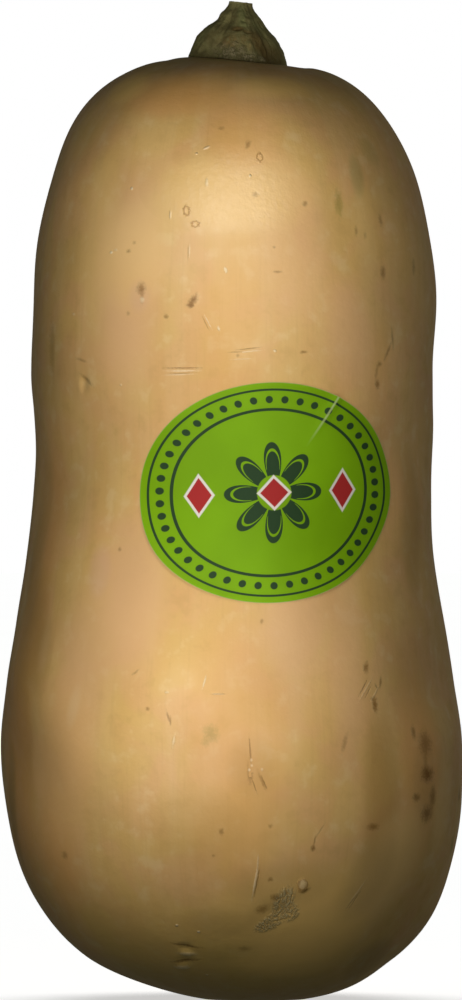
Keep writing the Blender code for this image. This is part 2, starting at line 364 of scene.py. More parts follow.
GRAZES = (
    (-11.6, 150.6, 3.6, 0.16, 0.0, 0.60),
    (-12.4, 149.7, 3.2, 0.14, 2.0, 0.50),
    (-5.6, 162.5, 0.16, 1.7, 28.0, 0.50),
    (-10.0, 179.4, 0.18, 1.5, 0.0, 0.45),
    (4.0, 155.2, 2.8, 0.16, 6.0, 0.50),
    (2.6, 153.4, 2.2, 0.14, 3.0, 0.35),
    (-21.4, 167.7, 0.5, 0.6, 0.0, 0.50),
    (-27.6, 179.6, 0.5, 0.3, 0.0, 0.35),
    (-37.6, 164.2, 0.5, 0.3, 0.0, 0.35),
    (5.8, 28.3, 0.22, 4.0, -8.0, 0.50),
    (6.4, 33.0, 0.16, 1.4, -4.0, 0.35),
    (30.4, 25.3, 0.18, 3.4, -28.0, 0.28),
    (32.2, 74.2, 0.2, 2.8, -38.0, 0.28),
    (34.4, 73.2, 0.2, 2.2, -38.0, 0.22),
    (4.9, 57.2, 0.30, 0.35, 0.0, 0.45),
    (5.0, 55.9, 0.25, 0.30, 0.0, 0.45),
    (4.4, 54.8, 0.28, 0.35, 0.0, 0.50),
    (7.4, 54.9, 0.25, 0.30, 0.0, 0.35),
    (17.1, 27.4, 0.9, 1.0, 0.0, 0.35),
    (-10.6, 10.8, 1.9, 0.6, -3.0, 0.40),
    (-11.6, 7.6, 1.7, 0.7, 4.0, 0.45),
)
RINGS = (
    (-10.6, 189.0, 0.70, 1.10, 15.0, 0.75),
    (-8.5, 185.8, 0.85, 0.65, 0.0, 0.75),
    (6.8, 201.8, 0.65, 1.0, 0.0, 0.65),
    (17.1, 27.2, 1.15, 1.35, 0.0, 0.70),
)
PIMPLES = (
    (-23.9, 194.4, 0.30, 0.30, 0.0, 0.8),
    (-28.7, 179.0, 0.35, 0.30, 0.0, 0.9),
    (-1.3, 174.8, 0.35, 0.60, 10.0, 0.7),
    (-5.9, 204.2, 0.7, 0.30, 25.0, 0.5),
    (-8.3, 202.8, 0.30, 0.25, 0.0, 0.4),
    (4.6, 197.5, 0.30, 0.30, 0.0, 0.7),
    (-5.8, 195.8, 0.35, 0.8, 0.0, 0.5),
    (-14.6, 188.0, 0.25, 0.9, 0.0, 0.4),
    (-2.9, 160.7, 0.30, 0.50, 25.0, 0.7),
    (10.4, 155.4, 0.35, 0.25, -20.0, 0.7),
    (-15.3, 73.4, 0.5, 0.25, 0.0, 0.5),
    (-6.4, 75.8, 0.22, 1.4, -15.0, 0.6),
    (-3.2, 73.0, 1.6, 0.18, 0.0, 0.4),
    (-13.9, 61.8, 0.30, 1.3, -12.0, 0.4),
    (-13.0, 17.5, 0.35, 0.30, 0.0, 0.7),
    (-7.8, 15.9, 0.30, 0.30, 0.0, 0.7),
    (-5.8, 5.6, 0.35, 0.30, 0.0, 0.5),
    (-26.4, 147.2, 0.25, 0.25, 0.0, 0.4),
)
HAIRLINES = (
    (-11.6, 151.3, 3.8, 0.13, 0.0, 0.55),
    (-12.2, 150.0, 2.6, 0.10, 2.0, 0.25),
    (4.2, 155.9, 2.6, 0.12, 7.0, 0.40),
    (1.0, 155.1, 1.6, 0.10, 4.0, 0.30),
    (-6.1, 162.0, 0.12, 1.6, 26.0, 0.30),
    (-10.4, 178.6, 0.12, 1.6, 0.0, 0.25),
    (4.6, 59.5, 0.16, 2.6, 4.0, 0.45),
    (6.2, 27.6, 0.16, 3.6, -8.0, 0.45),
    (5.6, 51.0, 0.14, 1.5, 20.0, 0.40),
    (8.0, 51.6, 0.14, 1.4, 24.0, 0.45),
    (30.0, 23.8, 0.16, 2.4, -24.0, 0.40),
    (28.6, 22.6, 0.14, 1.4, -28.0, 0.30),
    (31.6, 74.6, 0.16, 1.9, -36.0, 0.45),
    (32.8, 73.6, 0.14, 1.5, -36.0, 0.35),
)
STAINS = (
    (26.1, 190.8, 0.9, 2.6, 0.0, 0.55),
    (-4.9, 63.6, 1.5, 1.7, 20.0, 0.42),
    (-6.2, 61.4, 0.9, 0.9, 0.0, 0.25),
)
# Each kind of mark: its colour, how soft its edge is, whether it is a ring, and how far it stands up in mm
MARK_KINDS = {
    # Flecks also serve as painted shade in folds and dents
    "fleck": (0x7B500E, 0.90, 0.0, -0.03),
    "hairline": (0x7C541E, 0.60, 0.0, -0.08),
    "graze": (0xF8E2B6, 0.60, 0.0, 0.07),
    "pimple": (0xF8E2B6, 0.60, 0.0, 0.14),
    "ring": (0x9C6420, 0.34, 1.0, 0.10),
    "stain": (0x968438, 0.85, 0.0, 0.0),
}
# Where the front list doesn't reach, marks of the same kinds are drawn at random, all round the other side
DRAWN_MARKS = 130
DRAWN_KINDS = ("fleck", "fleck", "fleck", "fleck", "hairline", "graze", "graze", "pimple", "stain", "ring")
DRAWN_SIDE = (-15.0, 195.0)
MARK_REACH_MM = 8.0
MARK_LAYERS = 3
MARK_SEED = 21
MARK_ROOM = 1.6
FACE_SPAN_MM = 1.5
NO_MARK = (9.0, 9.0, 0.0)


def hex_colour(number):
    """Linear colour of an sRGB hex number."""
    shares = [(number >> shift & 255) / 255.0 for shift in (16, 8, 0)]
    linear = [s / 12.92 if s <= 0.04045 else ((s + 0.055) / 1.055) ** 2.4 for s in shares]
    return (*linear, 1.0)


def drawn_mark(draw):
    """A random mark on the sides and the back, as its kind, place, normal and the rest of a row."""
    kind = DRAWN_KINDS[draw.integers(len(DRAWN_KINDS))]
    turn = math.radians(draw.uniform(*DRAWN_SIDE))
    height = draw.uniform(8.0, 222.0) * MM
    size, long, lean, strength = draw.uniform((0.25, 0.9, -60.0, 0.3), (0.9, 1.9, 60.0, 0.65))
    if kind in ("graze", "hairline"):
        size, long = 0.17, 14.0 * (long - 0.7)
    if kind == "pimple":
        size = 0.5 * size
    if kind == "stain":
        size, long = 1.8 * size, 1.3 * long
    way = Vector((math.cos(turn), math.sin(turn), 0.0))
    on_axis = Vector((0.0, 0.0, height))
    place, normal = fruit_tree.ray_cast(on_axis, way)[:2]
    if place is None:
        place, normal = fruit_tree.find_nearest(way * REST_RADIUS + on_axis)[:2]
    return kind, place, normal, (size, size * long, lean, strength)


mark_draw = np.random.default_rng(MARK_SEED)
marks = [drawn_mark(mark_draw) for i in range(DRAWN_MARKS)]
FRONT_MARKS = {
    "fleck": FLECKS_AND_CREASE_SHADE,
    "hairline": HAIRLINES,
    "graze": GRAZES,
    "pimple": PIMPLES,
    "ring": RINGS,
    "stain": STAINS,
}
for kind, rows in FRONT_MARKS.items():
    marks += [(kind, *seen(*row[:2]), row[2:]) for row in rows]
marks.sort(key=lambda mark: mark[3][0] * mark[3][1])

# A face of the mesh carries up to three marks, the smallest first, each as the places of its corners in
# the mark's own frame, where the mark's edge is at 1. So their edges are sharper than the mesh is fine.
rind_mesh = fruit.data
corner_point = np.empty(len(rind_mesh.loops), np.int32)
face_start = np.empty(len(rind_mesh.polygons), np.int32)
face_size = np.empty(len(rind_mesh.polygons), np.int32)
rind_mesh.loops.foreach_get("vertex_index", corner_point)
rind_mesh.polygons.foreach_get("loop_start", face_start)
rind_mesh.polygons.foreach_get("loop_total", face_size)
quads = np.flatnonzero(face_size == 4)
quad_corners = face_start[quads][:, None] + np.arange(4)
quad_points = corner_point[quad_corners]
quad_middles = mesh_points[quad_points].mean(axis=1)
mark_places = np.full((MARK_LAYERS, len(corner_point), 3), NO_MARK)
mark_tints = np.zeros((MARK_LAYERS, len(face_start), 4))
mark_forms = np.full((MARK_LAYERS, len(face_start), 3), (0.5, 0.0, 0.0))
marks_on_quad = np.zeros(len(quads), int)
for kind, place, normal, (half_width, half_height, lean, strength) in marks:
    colour_number, soft, ring, rise_mm = MARK_KINDS[kind]
    reach = MARK_ROOM + soft
    away = np.linalg.norm(quad_middles - np.array(place), axis=1)
    in_reach = away < (reach * max(half_width, half_height) + FACE_SPAN_MM) * MM
    close = np.flatnonzero(in_reach & (marks_on_quad < MARK_LAYERS))
    axes = np.array(patch_axes(place, normal, lean))
    local = (mesh_points[quad_points[close]] - np.array(place)) @ axes / MM
    local = local / (half_width, half_height, MARK_REACH_MM)
    nearest = np.clip(0.0, local.min(axis=1), local.max(axis=1))
    touched = np.linalg.norm(nearest, axis=1) < reach
    chosen = close[touched]
    layer = marks_on_quad[chosen]
    mark_tints[layer, quads[chosen]] = (*hex_colour(colour_number)[:3], strength)
    mark_forms[layer, quads[chosen]] = (soft, ring, rise_mm)
    mark_places[layer[:, None], quad_corners[chosen]] = local[touched] * (1.0, 1.0, 0.0)
    marks_on_quad[chosen] += 1


def keep_values(mesh, name, kind, domain, values):
    """Stores values on a mesh under a name that its material can read."""
    attribute = mesh.attributes.new(name, kind, domain)
    entry = "color" if kind == "FLOAT_COLOR" else "vector"
    attribute.data.foreach_set(entry, np.asarray(values, np.float32).ravel())


def keep_share(mesh, name, share):
    """Stores a share at each point of a mesh, which its material reads as a factor."""
    keep_values(mesh, name, "FLOAT_VECTOR", "POINT", np.stack([share] * 3, axis=1))


for number in range(MARK_LAYERS):
    keep_values(rind_mesh, f"mark_place_{number}", "FLOAT_VECTOR", "CORNER", mark_places[number])
    keep_values(rind_mesh, f"mark_tint_{number}", "FLOAT_COLOR", "FACE", mark_tints[number])
    keep_values(rind_mesh, f"mark_form_{number}", "FLOAT_VECTOR", "FACE", mark_forms[number])

# Broad soft tints, of a few millimetres or more: colour, across, height, half sizes, lean and strength.
# The rind is deepest orange along its front, with rosy painted reflections of lamps on both sides of that,
# painted shade in places at the sides and along the bottom rim, painted light on the neck, shoulders and
# lower front, and some field dirt.
# Rosy is painted reflection, dusky is painted shade, light, warm light and bright are painted light, pale is
# a pale mark and a painted highlight, grime is dirt and painted shade
ORANGE_TINT = 0xE1A55C
PAINTED_REFLECTION_TINT = 0xE6B57E
PAINTED_SHADE_TINT = 0xB98F4C
GREENISH_TINT = 0xE0BA5E
PAINTED_LIGHT_TINT = 0xF2C67E
WARM_PAINTED_LIGHT_TINT = 0xF2BD78
BRIGHT_PAINTED_LIGHT_TINT = 0xFFCF78
PALE_AND_HIGHLIGHT_TINT = 0xF3D9A8
OLIVE_TINT = 0x8A8440
PINK_TINT = 0xDDAE8C
GRIME_AND_PAINTED_SHADE_TINT = 0x8C6E36
TINTS_AND_PAINTED_LIGHT = (
    (ORANGE_TINT, 1.0, 58.0, 16.0, 42.0, 0.0, 0.52),
    (ORANGE_TINT, 0.0, 160.0, 10.0, 40.0, 0.0, 0.40),
    (ORANGE_TINT, -46.0, 98.0, 9.0, 48.0, 0.0, 0.55),
    (ORANGE_TINT, -51.0, 56.0, 13.0, 36.0, 0.0, 0.75),
    (ORANGE_TINT, -42.0, 34.0, 9.0, 20.0, 0.0, 0.60),
    (ORANGE_TINT, -14.0, 217.0, 18.0, 9.0, 0.0, 0.70),
    (PAINTED_REFLECTION_TINT, -25.0, 172.0, 12.0, 34.0, 0.0, 0.95),
    (PAINTED_REFLECTION_TINT, -24.0, 96.0, 12.0, 26.0, 0.0, 0.90),
    (PAINTED_REFLECTION_TINT, 15.0, 180.0, 13.0, 22.0, 0.0, 0.60),
    (PAINTED_REFLECTION_TINT, 15.0, 90.0, 10.0, 20.0, 0.0, 0.80),
    (PAINTED_REFLECTION_TINT, 28.0, 80.0, 7.0, 30.0, 0.0, 0.60),
    (PAINTED_REFLECTION_TINT, 28.0, 160.0, 9.0, 16.0, 0.0, 0.70),
    (PAINTED_REFLECTION_TINT, -36.0, 76.0, 10.0, 30.0, 0.0, 0.70),
    (ORANGE_TINT, 46.0, 60.0, 9.0, 36.0, 0.0, 0.55),
    (PAINTED_SHADE_TINT, -48.0, 86.0, 8.0, 20.0, 0.0, 0.55),
    (PAINTED_SHADE_TINT, -46.0, 110.0, 6.0, 30.0, 0.0, 0.50),
    (PAINTED_SHADE_TINT, 36.5, 48.0, 7.0, 26.0, 0.0, 0.65),
    (PAINTED_SHADE_TINT, 43.5, 114.0, 6.0, 24.0, 0.0, 0.60),
    (PAINTED_SHADE_TINT, 35.0, 128.0, 4.0, 14.0, 0.0, 0.25),
    (PAINTED_SHADE_TINT, -52.5, 46.0, 4.0, 18.0, 0.0, 0.70),
    (PAINTED_SHADE_TINT, -45.5, 82.0, 5.0, 12.0, 0.0, 0.50),
    (PAINTED_SHADE_TINT, -9.0, 41.0, 15.0, 12.0, 0.0, 0.35),
    (PAINTED_SHADE_TINT, 5.0, 56.0, 7.0, 9.0, 0.0, 0.30),
    (GREENISH_TINT, 0.0, 8.0, 50.0, 24.0, 0.0, 0.60),
    (BRIGHT_PAINTED_LIGHT_TINT, 16.0, 20.0, 28.0, 16.0, 8.0, 0.75),
    (PAINTED_LIGHT_TINT, 38.0, 30.0, 12.0, 22.0, -20.0, 0.80),
    (PAINTED_LIGHT_TINT, 51.0, 46.0, 6.0, 14.0, 0.0, 0.70),
    (BRIGHT_PAINTED_LIGHT_TINT, 21.0, 14.0, 18.0, 9.0, 12.0, 0.80),
    (WARM_PAINTED_LIGHT_TINT, -41.0, 56.0, 14.0, 26.0, 0.0, 0.75),
    (PAINTED_LIGHT_TINT, 0.0, 194.0, 24.0, 13.0, 0.0, 0.90),
    (PAINTED_LIGHT_TINT, -24.0, 178.0, 12.0, 16.0, 0.0, 0.60),
    (PAINTED_LIGHT_TINT, -32.0, 182.0, 8.0, 24.0, 0.0, 0.50),
    (ORANGE_TINT, 3.0, 208.0, 12.0, 13.0, 0.0, 0.45),
    (WARM_PAINTED_LIGHT_TINT, -46.0, 56.0, 5.0, 9.0, 0.0, 0.60),
    (BRIGHT_PAINTED_LIGHT_TINT, -25.0, 218.5, 9.0, 7.0, -10.0, 0.80),
    (BRIGHT_PAINTED_LIGHT_TINT, -34.0, 209.0, 10.0, 15.0, -35.0, 0.40),
    (BRIGHT_PAINTED_LIGHT_TINT, 10.0, 219.0, 12.0, 6.0, 0.0, 0.60),
    (OLIVE_TINT, 30.2, 197.5, 2.8, 6.4, 0.0, 0.40),
    (OLIVE_TINT, 33.5, 203.0, 3.4, 5.0, 20.0, 0.20),
    (PALE_AND_HIGHLIGHT_TINT, -44.8, 84.0, 2.4, 8.0, 2.0, 0.10),
    (PALE_AND_HIGHLIGHT_TINT, -37.8, 70.0, 2.4, 6.5, -10.0, 0.20),
    (PALE_AND_HIGHLIGHT_TINT, -10.0, 184.0, 28.0, 15.0, 0.0, 0.10),
    (PINK_TINT, -31.6, 102.6, 4.0, 8.4, 0.0, 0.40),
    (PINK_TINT, -22.0, 168.5, 3.6, 4.8, 0.0, 0.35),
    (GRIME_AND_PAINTED_SHADE_TINT, 46.5, 52.0, 5.0, 13.0, 0.0, 0.15),
    (GRIME_AND_PAINTED_SHADE_TINT, 8.5, 20.5, 6.0, 5.0, 30.0, 0.22),
    (GRIME_AND_PAINTED_SHADE_TINT, 13.0, 27.0, 17.0, 8.0, 8.0, 0.30),
    (GRIME_AND_PAINTED_SHADE_TINT, -2.0, 18.0, 12.0, 6.0, 0.0, 0.28),
    (BRIGHT_PAINTED_LIGHT_TINT, 14.0, 8.0, 17.0, 7.0, 0.0, 0.60),
    (GRIME_AND_PAINTED_SHADE_TINT, 33.0, 9.0, 10.0, 9.0, -25.0, 0.40),
    (GRIME_AND_PAINTED_SHADE_TINT, 33.0, 29.0, 8.0, 14.0, -22.0, 0.24),
    (GRIME_AND_PAINTED_SHADE_TINT, 6.0, 1.8, 40.0, 14.0, 0.0, 0.28),
)
# Round the foot of the stem the rind is painted darker brown
COLLAR_TINT = 0x7E5E2C
COLLAR_SHARE = 0.40
COLLAR_RADIUS = 19.0 * MM
STUB_FOOT_RADIUS = 12.1 * MM
CORK_PATCHES = (
    (12.6, 23.0, 3.0, 5.4, -14.0),
    (9.2, 18.0, 4.8, 2.4, 35.0),
    (14.0, 20.6, 2.8, 3.0, 0.0),
)


def laid_over(tints, share, colour_number):
    """The tints with this colour laid over them, as colours that carry their own share."""
    layer = share[:, None] * np.array(hex_colour(colour_number))
    return tints * (1.0 - share[:, None]) + layer


# The tints, painted light and shade among them, are laid over each other, then the collar round the stem
rind_tints_and_painted_light = np.zeros((len(mesh_points), 4))
for colour_number, *oval, strength in TINTS_AND_PAINTED_LIGHT:
    share = strength * ramp(0.0, 1.0, oval_share(mesh_points, fruit_tree, *oval))
    rind_tints_and_painted_light = laid_over(rind_tints_and_painted_light, share, colour_number)
from_core = np.hypot(mesh_points[:, 0] - CORE[-1][1], mesh_points[:, 1])
collar = COLLAR_SHARE * ramp(COLLAR_RADIUS, STUB_FOOT_RADIUS, from_core) * (mesh_points[:, 2] > NECK_HEIGHT)
rind_tints_and_painted_light = laid_over(rind_tints_and_painted_light, collar, COLLAR_TINT)
rind_tints_and_painted_light[:, :3] /= np.maximum(rind_tints_and_painted_light[:, 3:], 1e-4)
keep_values(rind_mesh, "rind_tint_and_painted_light", "FLOAT_COLOR", "POINT", rind_tints_and_painted_light)
cork_share = np.max([oval_share(mesh_points, fruit_tree, *row) for row in CORK_PATCHES], axis=0)
keep_share(rind_mesh, "cork_share", cork_share)

# The wax is rubbed bright on the highest part of the neck's front: across, height, half sizes and lean
POLISHED = (-3.0, 194.0, 24.0, 13.0, -8.0)
polish = ramp(0.0, 0.8, oval_share(mesh_points, fruit_tree, *POLISHED))
keep_share(rind_mesh, "polish", polish)

# Waxy squash rind: hard plant skin under its own wax, satin and never mirror bright. Buff, mottled towards
# pink and straw, with lengthwise growth streaks, fine pores and a cloudy bloom.
RIND_BUFF = 0xE0B36E
RIND_PINK = 0xE0A76E
RIND_STRAW = 0xDCB261
RIND_STREAK = 0xC79A55
RIND_PALE = 0xF0D69E
CORK_GREY = 0xBCB084
CORK_DARK = 0x7E683A
SCAR_BROWN = 0x6E4F2C
MOTTLE_MM = 13.0
CLOUD_MM = 4.5
STREAK_WIDTH_MM = 0.9
STREAK_LENGTH_MM = 26.0
PORE_MM = 1.1
GRAIN_MM = 0.55
RAGGED_MM = 0.6
RAGGED_SHARE = 0.65
CLOUD_RISE_MM = 0.06
GRAIN_RISE_MM = 0.006
STREAK_RISE_MM = 0.006
PORE_RISE_MM = 0.004
CORK_RISE_MM = 0.30
PEBBLE_RISE_MM = 0.60
RING_LINE_SHARE = 0.16
MIX_OUT = 2


def add(tree, kind, inputs, give=0, **settings):
    """Adds a node with its settings, its values and its links, and gives back one of its outputs."""
    made = tree.nodes.new("ShaderNode" + kind)
    for name, value in settings.items():
        setattr(made, name, value)
    for socket, value in inputs.items():
        if isinstance(value, bpy.types.NodeSocket):
            tree.links.new(value, made.inputs[socket])
        else:
            made.inputs[socket].default_value = value
    return made.outputs[give]


def new_material(name):
    """An empty material, as itself, its node tree and the surface socket of its output."""
    material = bpy.data.materials.new(name)
    material.use_nodes = True
    material.node_tree.nodes.clear()
    output = material.node_tree.nodes.new("ShaderNodeOutputMaterial")
    return material, material.node_tree, output.inputs["Surface"]


def mixed(share, first, second, blend_type="MIX"):
    """Colour that goes from the first to the second as the share goes from 0 to 1."""
    inputs = {0: share, 6: first, 7: second}
    return add(tree, "Mix", inputs, give=MIX_OUT, data_type="RGBA", blend_type=blend_type)


def stretched(value, low, high, start=0.0, end=1.0):
    """The value's range from low to high, as the range from start to end."""
    inputs = {0: value, 1: low, 2: high, 3: start, 4: end}
    return add(tree, "MapRange", inputs, interpolation_type="SMOOTHSTEP")


def maths(operation, first, second=0.0):
    return add(tree, "Math", {0: first, 1: second}, operation=operation)


def plus(total, share, size):
    """The total with this share of a size added to it."""
    return maths("ADD", total, maths("MULTIPLY", share, size))


def places_in_mm():
    """Places on the piece in mm, for the patterns of its material."""
    in_metres = add(tree, "TexCoord", {}, give=3)
    return add(tree, "VectorMath", {0: in_metres, 3: 1.0 / MM}, operation="SCALE")


def bumped(relief_mm):
    """The normal of a surface that stands up by this relief in mm."""
    return add(tree, "Bump", {"Height": relief_mm, "Strength": 1.0, "Distance": MM})


rind, tree, surface = new_material("waxy_squash_rind")
in_mm = places_in_mm()

# Growth streaks run from end to end, so their pattern is round the core and long in height
flat_place = add(tree, "VectorMath", {0: in_mm, 1: (1.0, 1.0, 0.0)}, operation="MULTIPLY")
round_core = add(tree, "VectorMath", {0: flat_place}, operation="NORMALIZE")
streaks_round = BULB_RADIUS / MM / STREAK_WIDTH_MM
round_core = add(tree, "VectorMath", {0: round_core, 3: streaks_round}, operation="SCALE")
along_core = add(tree, "VectorMath", {0: in_mm, 1: (0.0, 0.0, 1.0 / STREAK_LENGTH_MM)}, operation="MULTIPLY")
streak_place = add(tree, "VectorMath", {0: round_core, 1: along_core}, operation="ADD")
streaks = add(tree, "TexNoise", {"Vector": streak_place, "Scale": 1.0, "Detail": 2.0, "Roughness": 0.6})
band_place = add(tree, "VectorMath", {0: streak_place, 1: (0.16, 0.16, 0.7)}, operation="MULTIPLY")
bands = add(tree, "TexNoise", {"Vector": band_place, "Scale": 1.0, "Detail": 1.0})
mottle = add(tree, "TexNoise", {"Vector": in_mm, "Scale": 1.0 / MOTTLE_MM, "Detail": 2.0, "Distortion": 0.6})
clouds = add(tree, "TexNoise", {"Vector": in_mm, "Scale": 1.0 / CLOUD_MM, "Detail": 3.0, "Roughness": 0.55})
grain = add(tree, "TexNoise", {"Vector": in_mm, "Scale": 1.0 / GRAIN_MM, "Detail": 1.0})
pores = add(tree, "TexVoronoi", {"Vector": in_mm, "Scale": 1.0 / PORE_MM, "Randomness": 1.0})
colour = mixed(stretched(mottle, 0.35, 0.65), hex_colour(RIND_PINK), hex_colour(RIND_STRAW))
colour = mixed(0.6, colour, hex_colour(RIND_BUFF))
colour = mixed(stretched(bands, 0.42, 0.66, 0.0, 0.10), colour, hex_colour(RIND_PALE))
colour = mixed(stretched(streaks, 0.50, 0.72, 0.0, 0.13), colour, hex_colour(RIND_STREAK))
colour = mixed(stretched(clouds, 0.52, 0.74, 0.0, 0.30), colour, hex_colour(RIND_STREAK))
colour = mixed(stretched(clouds, 0.46, 0.28, 0.0, 0.26), colour, hex_colour(RIND_PALE))
# The broad tints, painted light and shade among them, are laid over the rind's colour
tint = {"attribute_name": "rind_tint_and_painted_light"}
colour = mixed(add(tree, "Attribute", {}, give=3, **tint), colour, add(tree, "Attribute", {}, **tint))

# The marks that the faces carry, with edges made ragged by a noise finer than they are
ragged = add(tree, "TexNoise", {"Vector": in_mm, "Scale": 1.0 / RAGGED_MM, "Detail": 1.0}, give=1)
ragged = add(tree, "VectorMath", {0: ragged, 1: (0.5, 0.5, 0.5)}, operation="SUBTRACT")
ragged = add(tree, "VectorMath", {0: ragged, 3: 2.0 * RAGGED_SHARE}, operation="SCALE")
relief = maths("MULTIPLY", stretched(grain, 0.2, 0.8), GRAIN_RISE_MM)
for number in reversed(range(MARK_LAYERS)):
    place = add(tree, "Attribute", {}, give=1, attribute_name=f"mark_place_{number}")
    form = tree.nodes.new("ShaderNodeSeparateXYZ")
    tree.links.new(add(tree, "Attribute", {}, give=1, attribute_name=f"mark_form_{number}"), form.inputs[0])
    soft, ring, rise_mm = form.outputs
    strength = add(tree, "Attribute", {}, give=3, attribute_name=f"mark_tint_{number}")
    tint = add(tree, "Attribute", {}, attribute_name=f"mark_tint_{number}")
    place = add(tree, "VectorMath", {0: place, 1: ragged}, operation="ADD")
    outside = maths("SUBTRACT", add(tree, "VectorMath", {0: place}, give=1, operation="LENGTH"), 1.0)
    off_ring = maths("SUBTRACT", maths("ABSOLUTE", outside), RING_LINE_SHARE)
    outside = add(tree, "Mix", {0: ring, 2: outside, 3: off_ring}, data_type="FLOAT")
    inside = stretched(outside, soft, maths("MULTIPLY", soft, -1.0))
    colour = mixed(maths("MULTIPLY", inside, strength), colour, tint)
    relief = plus(relief, inside, rise_mm)

# Cork is hatched by fine cracks that lean the way it grew
crack_place = add(tree, "Mapping", {"Vector": in_mm, "Rotation": (0.0, 0.6, 0.0), "Scale": (2.2, 2.2, 0.45)})
cracks = add(tree, "TexNoise", {"Vector": crack_place, "Scale": 1.0, "Detail": 2.0, "Roughness": 0.7})
in_patch = add(tree, "Attribute", {}, give=2, attribute_name="cork_share")
cork = maths("MULTIPLY", stretched(in_patch, 0.0, 0.75), stretched(cracks, 0.30, 0.62))
cork_colour = mixed(stretched(cracks, 0.40, 0.60), hex_colour(CORK_DARK), hex_colour(CORK_GREY))
colour = mixed(maths("MULTIPLY", cork, 0.62), colour, cork_colour)

# The blossom scar underneath is dry brown cork
scar_away = add(tree, "VectorMath", {0: in_mm, 1: (CORE[0][1] / MM, 0.0, 0.0)}, give=1, operation="DISTANCE")
scar_mm = SCAR_RADIUS / MM
colour = mixed(stretched(scar_away, 1.3 * scar_mm, 0.9 * scar_mm, 0.0, 0.85), colour, hex_colour(SCAR_BROWN))

# Wax: satin, duller where it is corky. Its clouds stand out a little, and pores and streaks hardly at all
roughness = stretched(clouds, 0.3, 0.7, 0.40, 0.52)
roughness = plus(roughness, cork, 0.35)
relief = plus(relief, stretched(clouds, 0.2, 0.8), CLOUD_RISE_MM)
relief = plus(relief, stretched(pores, 0.02, 0.30), PORE_RISE_MM)
relief = plus(relief, streaks, STREAK_RISE_MM)
relief = plus(relief, maths("MULTIPLY", cork, cracks), CORK_RISE_MM)
bump = bumped(relief)

# Where the wax is rubbed, it shines, broken up by a pebbly surface of its own
polish = add(tree, "Attribute", {}, give=2, attribute_name="polish")
pebbles = add(tree, "TexNoise", {"Vector": in_mm, "Scale": 0.7, "Detail": 3.0, "Roughness": 0.6})
coat_bump = bumped(plus(relief, maths("MULTIPLY", pebbles, polish), PEBBLE_RISE_MM))
rind_inputs = {
    "Base Color": colour,
    "Roughness": roughness,
    "Metallic": 0.0,
    "IOR": 1.45,
    "Specular IOR Level": 0.42,
    "Coat Weight": stretched(polish, 0.0, 1.0, 0.10, 0.90),
    "Coat Roughness": stretched(polish, 0.0, 1.0, 0.32, 0.12),
    "Coat IOR": 1.43,
    "Coat Normal": coat_bump,
    "Normal": bump,
}
tree.links.new(add(tree, "BsdfPrincipled", rind_inputs), surface)
fruit.data.materials.append(rind)
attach(fruit, "root")
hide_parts("squash_fruit")

# The stem stub. What is left of the fruit stem after picking: five woody ribs that spread into a foot over
# the shoulder. It was cut short with a knife and has dried hard, grey green on the ribs and brown on the
# right, and is painted darker brown as shade in its pits and creases and along its foot.
STUB = (
    (0.00, STUB_FOOT_RADIUS),
    (0.12, 11.6 * MM),
    (0.30, 10.5 * MM),
    (0.48, 8.7 * MM),
    (0.62, 6.7 * MM),
    (0.76, 5.1 * MM),
    (0.88, 3.5 * MM),
    (1.00, 2.8 * MM),
)
STUB_TOP_HEIGHT = 239.0 * MM
STUB_TOP_X = 1.65 * MM
STUB_TOP_SLOPE = 0.10
STUB_HOLLOW = 0.6 * MM
GROOVE_SHARE = 0.15
GAP = 0.3 * MM
FOOT_LIFT = 0.05 * MM
LEFT_HOLLOW = 0.12
LEFT_HOLLOW_SHARE = 0.67
LEFT_HOLLOW_SPREAD = 0.09
FIBRES = 14
FIBRE_SEED = 11
FIBRE_RISE_SHARE = 0.006
STUB_COLUMNS = 220
STUB_RINGS = 120


def rib_share(turn):
    """Share of the stub's radius at this turn: 1 on a rib's crest and least in the groove between two."""
    crest = np.abs(np.cos(RIBS * (turn - RIB_TURN) / 2.0))
    return 1.0 - GROOVE_SHARE * (1.0 - crest) ** 1.5


def on_shoulder(turn, radius, lift):
    points = skin(turn, shoulder_height(radius), radius)
    points[..., 2] += lift
    return points


